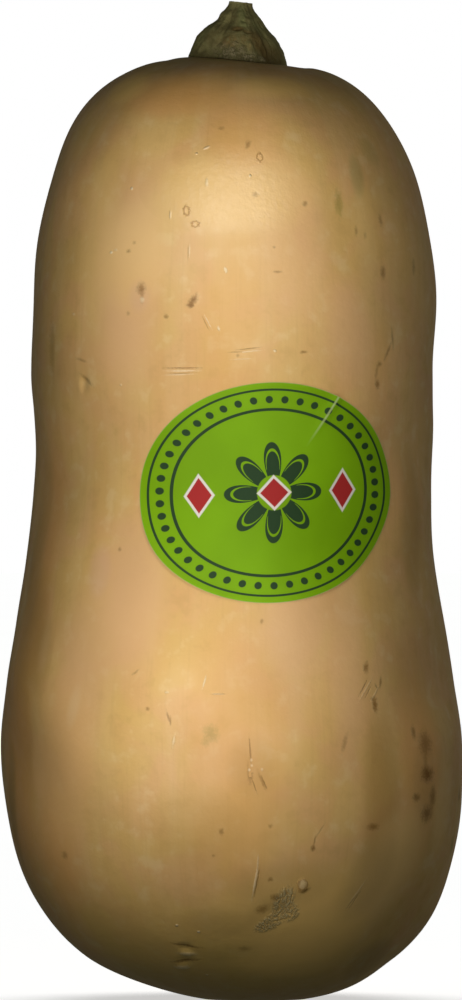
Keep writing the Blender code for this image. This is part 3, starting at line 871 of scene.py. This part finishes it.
stub_turns = 2.0 * math.pi * np.arange(STUB_COLUMNS) / STUB_COLUMNS
foot_radii = STUB[0][1] * rib_share(stub_turns)
foot = on_shoulder(stub_turns, foot_radii, FOOT_LIFT)
stub_base = skin(0.0, float(shoulder_height(0.0)), 0.0)
stub_rings = [
    on_shoulder(stub_turns, np.full(STUB_COLUMNS, SEAT_FLOOR_RADIUS - 1.5 * GAP), GAP - SEAT_DEPTH),
    on_shoulder(stub_turns, np.full(STUB_COLUMNS, SEAT_RADIUS - 1.5 * GAP), FOOT_LIFT),
    foot,
]
fibre_draw = np.random.default_rng(FIBRE_SEED)
fibre_waves = fibre_draw.integers(9, 46, FIBRES)
fibre_phases = fibre_draw.uniform(0.0, 2.0 * math.pi, (FIBRES, 2))
fibre_twists = fibre_draw.uniform(-3.0, 3.0, FIBRES)
for share in np.linspace(0.0, 1.0, STUB_RINGS + 1)[1:]:
    middle_x = stub_base[0] + (STUB_TOP_X - stub_base[0]) * share
    out = through(STUB, share) * rib_share(stub_turns)
    fibres = np.zeros(STUB_COLUMNS)
    for waves, phases, twist in zip(fibre_waves, fibre_phases, fibre_twists):
        around = np.sin(waves * stub_turns + phases[0] + twist * share)
        fibres += around * np.sin(7.0 * share * twist + phases[1])
    out = out * (1.0 + FIBRE_RISE_SHARE * fibres * ramp(0.0, 0.12, share))
    left_side = np.clip(-np.cos(stub_turns), 0.0, 1.0) ** 1.5
    hollow = LEFT_HOLLOW * math.exp(-(((share - LEFT_HOLLOW_SHARE) / LEFT_HOLLOW_SPREAD) ** 2))
    out = out * (1.0 - hollow * left_side)
    top = STUB_TOP_HEIGHT - STUB_TOP_SLOPE * out * np.cos(stub_turns)
    height = foot[:, 2] + (top - foot[:, 2]) * share
    x = middle_x + out * np.cos(stub_turns)
    stub_rings.append(np.stack([x, out * np.sin(stub_turns), height], axis=-1))
rim = stub_rings[-1]
for share in (0.85, 0.6, 0.3):
    centre = np.array([STUB_TOP_X, 0.0, STUB_TOP_HEIGHT])
    inner = centre + (rim - centre) * share
    inner[:, 2] -= STUB_HOLLOW * (1.0 - share)
    stub_rings.append(inner)
stub_first = stub_base + np.array([0.0, 0.0, GAP - SEAT_DEPTH])
stub_last = np.array([STUB_TOP_X, 0.0, STUB_TOP_HEIGHT - STUB_HOLLOW])
stub = turned_mesh("woody_stem_stub", stub_first, np.array(stub_rings), stub_last)
stub_tree = BVHTree.FromObject(stub, bpy.context.evaluated_depsgraph_get())

# Knobs, pits and creases of the dried wood: across, height, half width, half height, lean and rise in mm
STEM_LUMPS = (
    (2.6, 236.2, 0.75, 2.8, -5.0, 0.40),
    (2.8, 233.8, 0.85, 0.90, 0.0, 0.45),
    (1.6, 232.6, 1.30, 0.65, 0.0, -0.60),
    (3.9, 231.8, 1.30, 0.45, -8.0, -0.45),
    (-1.4, 233.6, 2.0, 3.4, -20.0, -0.40),
    (-0.8, 230.3, 1.0, 1.4, 10.0, 0.40),
    (0.4, 227.3, 1.1, 1.0, 0.0, 0.55),
    (-2.3, 228.3, 1.2, 1.2, 0.0, 0.45),
    (-0.9, 228.6, 0.5, 0.9, 20.0, -0.40),
    (2.8, 228.0, 1.0, 1.3, 0.0, 0.45),
    (1.6, 227.8, 0.4, 0.9, 0.0, -0.35),
    (1.1, 229.3, 0.7, 0.6, 0.0, 0.35),
    (4.6, 229.3, 0.8, 1.3, 15.0, 0.35),
    (-3.5, 226.3, 1.1, 0.6, 0.0, 0.40),
    (-4.4, 228.2, 0.8, 1.8, -12.0, 0.35),
    (5.6, 225.8, 1.4, 0.7, -8.0, 0.45),
    (7.8, 225.2, 1.2, 0.6, -10.0, 0.40),
    (6.6, 228.6, 1.8, 3.6, 22.0, -0.60),
    (9.6, 228.0, 1.1, 3.0, 26.0, 0.35),
)
LUMP_SHARE = 0.65
CRUMB_SIZE = 1.3 * MM
CRUMB_RISE = 0.10 * MM
stub_points, stub_normals = mesh_places(stub.data)
rise = np.zeros(len(stub_points))
for *oval, lump in STEM_LUMPS:
    rise += LUMP_SHARE * lump * MM * oval_share(stub_points, stub_tree, *oval)
crumble = np.array([noise.noise(Vector(point) / CRUMB_SIZE) for point in stub_points])
crumble += 0.5 * np.array([noise.noise(Vector(point) / (0.45 * CRUMB_SIZE)) for point in stub_points])
rise += CRUMB_RISE * crumble
above_foot = stub_points[:, 2] - shoulder_height(np.clip(np.hypot(*stub_points[:, :2].T), 0.0, NECK_RADIUS))
rise *= ramp(0.3 * MM, 1.0 * MM, above_foot)
stub_points = raised(stub.data, stub_points, stub_normals, rise)
stub_tree = BVHTree.FromObject(stub, bpy.context.evaluated_depsgraph_get())

# Dry squash stem: corky wood with lengthwise fibres, matt. Olive and grey green, brown on the right, with
# painted shade in darker brown in the pits and creases and along the foot, and a pale crust where the foot
# meets the rind.
STEM_OLIVE = 0xA2975E
STEM_SHADE = 0x8B7E4C
STEM_GREEN = 0xA8A666
STEM_BROWN_AND_SHADE = 0x765C2A
STEM_RUST = 0xB08C50
STEM_CRUST = 0xE2CE9C
STEM_FIBRE = 0x8A7C4A
FIBRE_MM = 0.45
PATCH_DEPTH_MM = 6.0
stem_wood, tree, surface = new_material("dry_corky_stem")
in_mm = places_in_mm()
fibre_place = add(tree, "VectorMath", {0: in_mm, 1: (1.0, 1.0, 0.22)}, operation="MULTIPLY")
fibre_inputs = {"Vector": fibre_place, "Scale": 1.0 / FIBRE_MM, "Detail": 3.0, "Roughness": 0.6}
fibre_grain = add(tree, "TexNoise", fibre_inputs)
blotches = add(tree, "TexNoise", {"Vector": in_mm, "Scale": 0.35, "Detail": 4.0, "Roughness": 0.65})
crumbs = add(tree, "TexNoise", {"Vector": in_mm, "Scale": 1.4, "Detail": 3.0, "Roughness": 0.7})
STEM_GREENS = (
    (2.6, 235.8, 0.9, 3.2, -5.0, 0.80),
    (3.0, 233.6, 1.2, 0.7, 0.0, 0.85),
    (-8.2, 229.5, 1.6, 3.4, -30.0, 0.50),
    (6.4, 233.0, 1.2, 3.0, 35.0, 0.35),
)
# Brown patches, partly the wood's own brown and partly painted shade in the pits and creases and along the
# foot
STEM_BROWNS_AND_SHADE = (
    (7.6, 227.8, 2.2, 4.6, 20.0, 0.80),
    (10.6, 225.8, 2.6, 2.6, 0.0, 0.55),
    (1.6, 232.6, 1.5, 0.7, 0.0, 0.90),
    (4.2, 231.6, 1.6, 0.5, -8.0, 0.70),
    (-7.2, 225.7, 3.2, 0.7, -6.0, 0.90),
    (0.6, 224.6, 8.0, 0.5, -4.0, 0.40),
)
STEM_RUSTS = (
    (-0.6, 229.9, 2.4, 1.8, 0.0, 0.60),
    (3.6, 229.4, 2.6, 1.8, 0.0, 0.45),
)
STEM_CRUSTS = (
    (0.4, 227.3, 1.1, 1.0, 0.0, 0.85),
    (-2.4, 228.0, 1.6, 1.4, 0.0, 0.45),
    (2.8, 227.8, 1.0, 1.2, 0.0, 0.55),
    (1.1, 229.3, 0.7, 0.6, 0.0, 0.55),
    (7.6, 225.4, 1.3, 0.6, -8.0, 0.80),
    (4.6, 226.0, 2.4, 1.1, -8.0, 0.75),
    (-0.6, 226.8, 3.0, 1.4, 0.0, 0.70),
)


def patches(rows, soft):
    """Strongest of some oval patches of the stub: across, height, half sizes, lean and strength."""
    spread = 1.0 + soft
    found = None
    for across, height, half_width, half_height, lean, strength in rows:
        place, normal = seen(across, height, stub_tree)
        inputs = {
            "Vector": in_mm,
            "Location": Vector(place) / MM,
            "Rotation": patch_axes(place, normal, lean).to_euler(),
            "Scale": (half_width * spread, half_height * spread, PATCH_DEPTH_MM * spread),
        }
        local = add(tree, "Mapping", inputs, vector_type="TEXTURE")
        near = add(tree, "TexGradient", {"Vector": local}, give=1, gradient_type="SPHERICAL")
        patch = stretched(near, 0.0, 2.0 * soft / spread, 0.0, strength)
        found = patch if found is None else maths("MAXIMUM", found, patch)
    return found


wood_colour = mixed(stretched(blotches, 0.38, 0.62), hex_colour(STEM_OLIVE), hex_colour(STEM_SHADE))
greens = patches(STEM_GREENS, 0.6)
browns_and_shade = patches(STEM_BROWNS_AND_SHADE, 0.5)
rusts = patches(STEM_RUSTS, 0.6)
crusts = patches(STEM_CRUSTS, 0.6)
wood_colour = mixed(greens, wood_colour, hex_colour(STEM_GREEN))
wood_colour = mixed(browns_and_shade, wood_colour, hex_colour(STEM_BROWN_AND_SHADE))
rusts = maths("MULTIPLY", rusts, stretched(crumbs, 0.35, 0.6))
wood_colour = mixed(rusts, wood_colour, hex_colour(STEM_RUST))
crusts = maths("MULTIPLY", crusts, stretched(crumbs, 0.40, 0.6))
wood_colour = mixed(crusts, wood_colour, hex_colour(STEM_CRUST))
wood_colour = mixed(stretched(fibre_grain, 0.45, 0.75, 0.0, 0.4), wood_colour, hex_colour(STEM_FIBRE))
wood_relief = maths("MULTIPLY", fibre_grain, 0.14)
wood_relief = plus(wood_relief, crumbs, 0.20)
wood_relief = plus(wood_relief, crusts, 0.25)
wood_bump = bumped(wood_relief)
wood_inputs = {
    "Base Color": wood_colour,
    "Roughness": stretched(crumbs, 0.3, 0.7, 0.62, 0.88),
    "Metallic": 0.0,
    "IOR": 1.45,
    "Specular IOR Level": 0.35,
    "Normal": wood_bump,
}
tree.links.new(add(tree, "BsdfPrincipled", wood_inputs), surface)
stub.data.materials.append(stem_wood)
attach(stub, "root")
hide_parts("stem_stub")

# The sticker. An oval of soft vinyl film, printed lime green, die cut and glued round the waist by hand, so
# it has one pleat near the top and its lower left edge has let go a little. The ornament is a generic one.
STICKER_HALF_WIDTH = 32.5 * MM
STICKER_HALF_HEIGHT = 26.0 * MM
STICKER_ALONG = 9.5 * MM
STICKER_HEIGHT = 121.3 * MM
STICKER_TILT = math.radians(2.3)
FILM_THICKNESS = 0.12 * MM
GLUE_LIFT = 0.05 * MM
STICKER_SPOKES = 240
STICKER_RINGS = 56
PLEAT_FROM = (18.2, 23.4)
PLEAT_TO = (8.0, 10.0)
PLEAT_WIDTH = 0.9
PLEAT_RISE = 0.45
CURL_SPOKE = math.radians(222.0)
CURL_RISE = 0.55


def on_wall(right, up, lift):
    """Points of the sticker, given by mm from its middle along the film, lifted off the grown skin."""
    along = STICKER_ALONG + MM * (right * math.cos(STICKER_TILT) - up * math.sin(STICKER_TILT))
    height = STICKER_HEIGHT + MM * (right * math.sin(STICKER_TILT) + up * math.cos(STICKER_TILT))
    radius = through(WALL, height)
    turn = along / radius - math.pi / 2.0
    slope = (through(WALL, height + MM) - through(WALL, height - MM)) / (2.0 * MM)
    outward = np.stack([np.cos(turn), np.sin(turn) / DEPTH_SHARE, -slope], axis=-1)
    outward /= np.linalg.norm(outward, axis=-1, keepdims=True)
    points = skin(turn, height, radius)
    lift = lift + swell(points.reshape(-1, 3)).reshape(lift.shape)
    return points + outward * lift[..., None]


pleat_length = math.dist(PLEAT_FROM, PLEAT_TO)
pleat_way = (np.array(PLEAT_TO) - np.array(PLEAT_FROM)) / pleat_length


def film_lift(right, up, share, spoke):
    """How far the film stands off the skin: its glue, the pleat and the edge that has let go."""
    beside = (right - PLEAT_FROM[0]) * pleat_way[1] - (up - PLEAT_FROM[1]) * pleat_way[0]
    down = ((right - PLEAT_FROM[0]) * pleat_way[0] + (up - PLEAT_FROM[1]) * pleat_way[1]) / pleat_length
    pleat = PLEAT_RISE * np.exp(-((beside / PLEAT_WIDTH) ** 2)) * (1.0 - ramp(0.2, 1.0, down))
    near = np.cos(np.clip((spoke - CURL_SPOKE) / math.radians(50.0), -1.0, 1.0) * math.pi / 2.0) ** 2
    curl = CURL_RISE * near * ramp(0.86, 1.0, share) ** 2
    return GLUE_LIFT + MM * (pleat + curl)


spokes = 2.0 * math.pi * np.arange(STICKER_SPOKES) / STICKER_SPOKES
shares = np.linspace(0.0, 1.0, STICKER_RINGS + 1)[1:]
share_grid, spoke_grid = np.meshgrid(shares, spokes, indexing="ij")
right_grid = STICKER_HALF_WIDTH / MM * share_grid * np.cos(spoke_grid)
up_grid = STICKER_HALF_HEIGHT / MM * share_grid * np.sin(spoke_grid)
back_lift = film_lift(right_grid, up_grid, share_grid, spoke_grid)
back = on_wall(right_grid, up_grid, back_lift)
face = on_wall(right_grid, up_grid, back_lift + FILM_THICKNESS)
middle = np.zeros(1)
back_middle = on_wall(middle, middle, middle + GLUE_LIFT)[0]
face_middle = on_wall(middle, middle, middle + GLUE_LIFT + FILM_THICKNESS)[0]
film_rings = np.concatenate([back, face[::-1]])
sticker = turned_mesh("oval_vinyl_sticker", back_middle, film_rings, face_middle)
sticker.data.set_sharp_from_angle(angle=math.radians(50.0))
print_rows = np.stack([right_grid, up_grid, np.zeros_like(up_grid)], axis=-1)
print_middle = np.zeros((1, 3))
print_sides = np.concatenate([print_rows, print_rows[::-1]]).reshape(-1, 3)
print_places = np.concatenate([print_middle, print_sides, print_middle])
keep_values(sticker.data, "print_mm", "FLOAT_VECTOR", "POINT", print_places)

# Printed vinyl film: plastic, semi-gloss with a faint orange peel. The print is a keyline, a ring of beads
# and an eight-petalled rosette in dark green, with small red lozenges outlined in white.
FILM_GREEN = 0x80AF0A
FILM_SHADE = 0x79A508
INK_GREEN = 0x2C4426
INK_RED = 0xAE2F2C
FILM_WHITE = 0xEADFD2
CREASED_FILM = 0xC2D48A
EDGE_PALE = 0xA9C264
EDGE_PALE_MM = 0.10
BEADS = 46
BEAD_SHARE = 0.845
BEAD_RADIUS_MM = 0.85
vinyl, tree, surface = new_material("printed_lime_vinyl")
printed = add(tree, "Attribute", {}, give=1, attribute_name="print_mm")
axes = tree.nodes.new("ShaderNodeSeparateXYZ")
tree.links.new(printed, axes.inputs[0])
right_mm, up_mm = axes.outputs[0], axes.outputs[1]
half_width_mm = STICKER_HALF_WIDTH / MM
half_height_mm = STICKER_HALF_HEIGHT / MM
oval_inputs = {0: printed, 1: (1.0 / half_width_mm, 1.0 / half_height_mm, 0.0)}
oval_place = add(tree, "VectorMath", oval_inputs, operation="MULTIPLY")
oval = add(tree, "VectorMath", {0: oval_place}, give=1, operation="LENGTH")
oval_axes = tree.nodes.new("ShaderNodeSeparateXYZ")
tree.links.new(oval_place, oval_axes.inputs[0])
spoke = maths("ARCTAN2", oval_axes.outputs[1], oval_axes.outputs[0])


def line_at(share, half_width):
    """An even line of ink round the oval, at a share of its size, half_width mm to each side."""
    away = maths("MULTIPLY", maths("ABSOLUTE", maths("SUBTRACT", oval, share)), half_height_mm)
    return stretched(away, half_width + 0.12, half_width - 0.04)


def lozenge(across, half_width, half_height):
    """Distance into a lozenge on the middle line, 1 at its edge."""
    sideways = maths("DIVIDE", maths("ABSOLUTE", maths("SUBTRACT", right_mm, across)), half_width)
    upright = maths("DIVIDE", maths("ABSOLUTE", up_mm), half_height)
    return maths("ADD", sideways, upright)


bead_turns = maths("MULTIPLY", spoke, BEADS / (2.0 * math.pi))
bead_offset = maths("SUBTRACT", maths("FRACT", bead_turns), 0.5)
spread = maths("MULTIPLY", maths("ABSOLUTE", maths("SINE", spoke)), half_width_mm - half_height_mm)
bead_pitch = maths("MULTIPLY", maths("ADD", spread, half_height_mm), 2.0 * math.pi * BEAD_SHARE / BEADS)
bead_along = maths("MULTIPLY", bead_offset, bead_pitch)
bead_out = maths("MULTIPLY", maths("SUBTRACT", oval, BEAD_SHARE), half_height_mm)
bead_away = maths("SQRT", maths("ADD", maths("POWER", bead_along, 2.0), maths("POWER", bead_out, 2.0)))
beads = stretched(bead_away, BEAD_RADIUS_MM + 0.15, BEAD_RADIUS_MM - 0.1)
ink = maths("MAXIMUM", beads, maths("MAXIMUM", line_at(0.935, 0.22), line_at(0.755, 0.30)))

petal_turn = maths("ARCTAN2", up_mm, right_mm)
petal_wave = maths("ABSOLUTE", maths("COSINE", maths("MULTIPLY", petal_turn, 4.0)))
petal_reach = maths("MULTIPLY", maths("POWER", petal_wave, 0.55), 12.0)
from_middle = add(tree, "VectorMath", {0: printed}, give=1, operation="LENGTH")
petal_depth = maths("SUBTRACT", petal_reach, from_middle)
petals = stretched(petal_depth, -0.1, 0.2)
petals = maths("MULTIPLY", petals, stretched(from_middle, 4.0, 4.3))
veins = stretched(maths("ABSOLUTE", maths("SUBTRACT", petal_depth, 1.9)), 0.45, 0.20)
veins = maths("MULTIPLY", veins, stretched(from_middle, 5.4, 6.0))
petals = maths("MULTIPLY", petals, maths("SUBTRACT", 1.0, veins))
ink = maths("MAXIMUM", ink, petals)
heart = lozenge(0.0, 3.4, 3.4)
left_gem = lozenge(-17.8, 3.0, 4.2)
right_gem = lozenge(17.8, 3.0, 4.2)
gems = maths("MINIMUM", heart, maths("MINIMUM", left_gem, right_gem))
film_noise = add(tree, "TexNoise", {"Vector": printed, "Scale": 0.05, "Detail": 2.0})
film = mixed(stretched(film_noise, 0.35, 0.65), hex_colour(FILM_GREEN), hex_colour(FILM_SHADE))
film = mixed(ink, film, hex_colour(INK_GREEN))
film = mixed(stretched(gems, 1.30, 1.20), film, hex_colour(FILM_WHITE))
film = mixed(stretched(gems, 1.04, 0.96), film, hex_colour(INK_RED))
edge_share = 1.0 - EDGE_PALE_MM * MM / STICKER_HALF_HEIGHT
film = mixed(stretched(oval, edge_share - 0.002, edge_share + 0.002), film, hex_colour(EDGE_PALE))

# The film has whitened where it was folded, most of all at the edge
from_pleat = add(tree, "VectorMath", {0: printed, 1: (*PLEAT_FROM, 0.0)}, operation="SUBTRACT")
across_pleat = {0: from_pleat, 1: (pleat_way[1], -pleat_way[0], 0.0)}
beside = maths("ABSOLUTE", add(tree, "VectorMath", across_pleat, give=1, operation="DOT_PRODUCT"))
along_pleat = {0: from_pleat, 1: (pleat_way[0], pleat_way[1], 0.0)}
down = add(tree, "VectorMath", along_pleat, give=1, operation="DOT_PRODUCT")
on_fold = stretched(beside, 0.42, 0.08)
fold_strength = stretched(down, pleat_length, 0.3 * pleat_length, 0.0, 0.75)
crease = maths("MULTIPLY", on_fold, fold_strength)
film = mixed(crease, film, hex_colour(CREASED_FILM))
peel = add(tree, "TexNoise", {"Vector": printed, "Scale": 0.8, "Detail": 2.0})
film_bump = bumped(maths("MULTIPLY", peel, 0.03))
vinyl_inputs = {
    "Base Color": film,
    "Roughness": stretched(peel, 0.3, 0.7, 0.50, 0.60),
    "Metallic": 0.0,
    "IOR": 1.52,
    "Specular IOR Level": 0.14,
    "Normal": film_bump,
}
tree.links.new(add(tree, "BsdfPrincipled", vinyl_inputs), surface)
sticker.data.materials.append(vinyl)
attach(sticker, "root")
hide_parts("oval_sticker")

# The floor. A wide pale studio table, painted matt. It takes only its own light, so that it stays as pale as
# the surroundings, and keeps the soft contact shadow of the fruit.
FLOOR_HALF = 14.0
FLOOR_PALE = 0xF6F6F6
FLOOR_PALEST = 0xF9F9F9
floor_mesh = bpy.data.meshes.new("studio_floor")
corners = [(x * FLOOR_HALF, y * FLOOR_HALF, 0.0) for x, y in ((-1, -1), (1, -1), (1, 1), (-1, 1))]
floor_mesh.from_pydata(corners, [], [(0, 1, 2, 3)])
floor = bpy.data.objects.new("studio_floor", floor_mesh)
bpy.context.scene.collection.objects.link(floor)
floor_paint, tree, surface = new_material("matt_studio_paint")
in_metres = add(tree, "TexCoord", {}, give=3)
paint_noise = add(tree, "TexNoise", {"Vector": in_metres, "Scale": 3.0, "Detail": 3.0})
paint = mixed(paint_noise, hex_colour(FLOOR_PALE), hex_colour(FLOOR_PALEST))
paint_inputs = {"Base Color": paint, "Roughness": 0.9, "Emission Color": paint, "Emission Strength": 0.6}
tree.links.new(add(tree, "BsdfPrincipled", paint_inputs), surface)
floor_mesh.materials.append(floor_paint)
floor.visible_diffuse = False
floor.visible_glossy = False

# Light: small soft boxes close in front, as the photograph's shading asks for, others behind for the other
# sides, weak strips at the back and one side, and a dim surround. The floor has a wide sun of its own.
lit_pieces = bpy.data.collections.new("lit_pieces")
lit_floor = bpy.data.collections.new("lit_floor")
for piece in (fruit, stub, sticker):
    lit_pieces.objects.link(piece)
lit_floor.objects.link(floor)


def strip(name, place, target, size, power):
    """A soft white rectangular light, width by height, that lights the pieces alone and isn't seen itself."""
    data = bpy.data.lights.new(name, "AREA")
    data.shape = "RECTANGLE"
    data.size, data.size_y = size
    data.energy = power
    lamp = bpy.data.objects.new(name, data)
    bpy.context.scene.collection.objects.link(lamp)
    lamp.location = place
    lamp.rotation_euler = (Vector(target) - Vector(place)).to_track_quat("-Z", "Y").to_euler()
    lamp.visible_camera = False
    lamp.light_linking.receiver_collection = lit_pieces
    return lamp


# The front is lit from close by, by two rows of small soft boxes: X, height and power in watts
BOX_SIZE = 60.0 * MM
BOX_AWAY = 145.0 * MM
SMALL_BOX_SIZE = 40.0 * MM
SMALL_BOX_AWAY = 110.0 * MM
FRONT_BOXES = (
    (-66.0, 50.0, 0.0130),
    (30.0, 110.0, 0.0125),
)
SMALL_BOXES = (
    (-38.0, 62.0, 0.0058),
    (-34.0, 85.0, 0.0229),
    (-32.0, 175.0, 0.0092),
    (-30.0, 195.0, 0.0235),
    (14.0, 80.0, 0.0119),
    (14.0, 172.0, 0.0146),
    (28.0, 205.0, 0.0110),
    (22.0, 22.0, 0.0007),
    (54.0, 24.0, 0.0018),
)
for across, height, power in FRONT_BOXES:
    place = (across * MM, -BOX_AWAY, height * MM)
    strip("front_box", place, (0.5 * across * MM, 0.0, height * MM), (BOX_SIZE, BOX_SIZE), power)
for across, height, power in SMALL_BOXES:
    place = (across * MM, -SMALL_BOX_AWAY, height * MM)
    target = (across * MM, 0.0, height * MM)
    strip("small_front_box", place, target, (SMALL_BOX_SIZE, SMALL_BOX_SIZE), power)

# One more is seen in the wax of the rubbed place alone, and lights nothing else
SHEEN_BOX_SIZE = (48.0 * MM, 20.0 * MM)
SHEEN_BOX_PLACE = (6.0 * MM, -SMALL_BOX_AWAY, 230.0 * MM)
SHEEN_BOX_TARGET = (0.0, -NECK_RADIUS, 195.0 * MM)
SHEEN_BOX_POWER = 0.014
strip("sheen_box", SHEEN_BOX_PLACE, SHEEN_BOX_TARGET, SHEEN_BOX_SIZE, SHEEN_BOX_POWER).visible_diffuse = False

# The other sides are lit as softly, from behind and from too far round to be mirrored at the front's edges
BACK_BOX_POWER = 0.035
for across in (-30.0, 30.0):
    for height in (75.0, 165.0):
        place = (across * MM, BOX_AWAY, height * MM)
        target = (0.5 * across * MM, 0.0, height * MM)
        strip("back_box", place, target, (BOX_SIZE, BOX_SIZE), BACK_BOX_POWER)
MIDDLE = (0.0, 0.0, 0.120)
for place, size, power in (
    ((-0.30, 0.50, 0.20), (0.3, 0.5), 0.35),
    ((0.30, 0.50, 0.20), (0.3, 0.5), 0.35),
    ((0.60, 0.25, 0.20), (0.4, 0.5), 0.28),
):
    strip("side_strip", place, MIDDLE, size, power).visible_glossy = False
sun = bpy.data.lights.new("floor_sun", "SUN")
sun.energy = 1.6
sun.angle = math.radians(50.0)
sun_lamp = bpy.data.objects.new("floor_sun", sun)
bpy.context.scene.collection.objects.link(sun_lamp)
sun_lamp.rotation_euler = (math.radians(-38.0), 0.0, 0.0)
sun_lamp.light_linking.receiver_collection = lit_floor

SURROUND_GREY = (0.047, 0.052, 0.045, 1.0)
SEEN_WHITE = (1.0, 1.0, 1.0, 1.0)
world = bpy.data.worlds.new("studio_surround")
world.use_nodes = True
bpy.context.scene.world = world
tree = world.node_tree
tree.nodes.clear()
seen_world = mixed(add(tree, "LightPath", {}, give=0), SURROUND_GREY, SEEN_WHITE)
background = add(tree, "Background", {0: seen_world, 1: 1.0})
world_output = tree.nodes.new("ShaderNodeOutputWorld")
tree.links.new(background, world_output.inputs[0])

# The camera stands far off at the level of the fruit's middle with a long lens, and frames 240 mm of height.
FRAMED_HEIGHT = 0.240
SENSOR_MM = 36.0
camera_data = bpy.data.cameras.new("long_lens")
camera_data.sensor_width = SENSOR_MM
camera_data.lens = SENSOR_MM * -EYE.y / FRAMED_HEIGHT
camera_data.clip_start = 0.1
camera_data.clip_end = 60.0
camera = bpy.data.objects.new("long_lens", camera_data)
camera.location = EYE
camera.rotation_euler = (math.radians(90.0), 0.0, 0.0)
bpy.context.scene.collection.objects.link(camera)
bpy.context.scene.camera = camera
bpy.context.scene.view_settings.view_transform = "Standard"
bpy.context.scene.view_settings.look = "None"
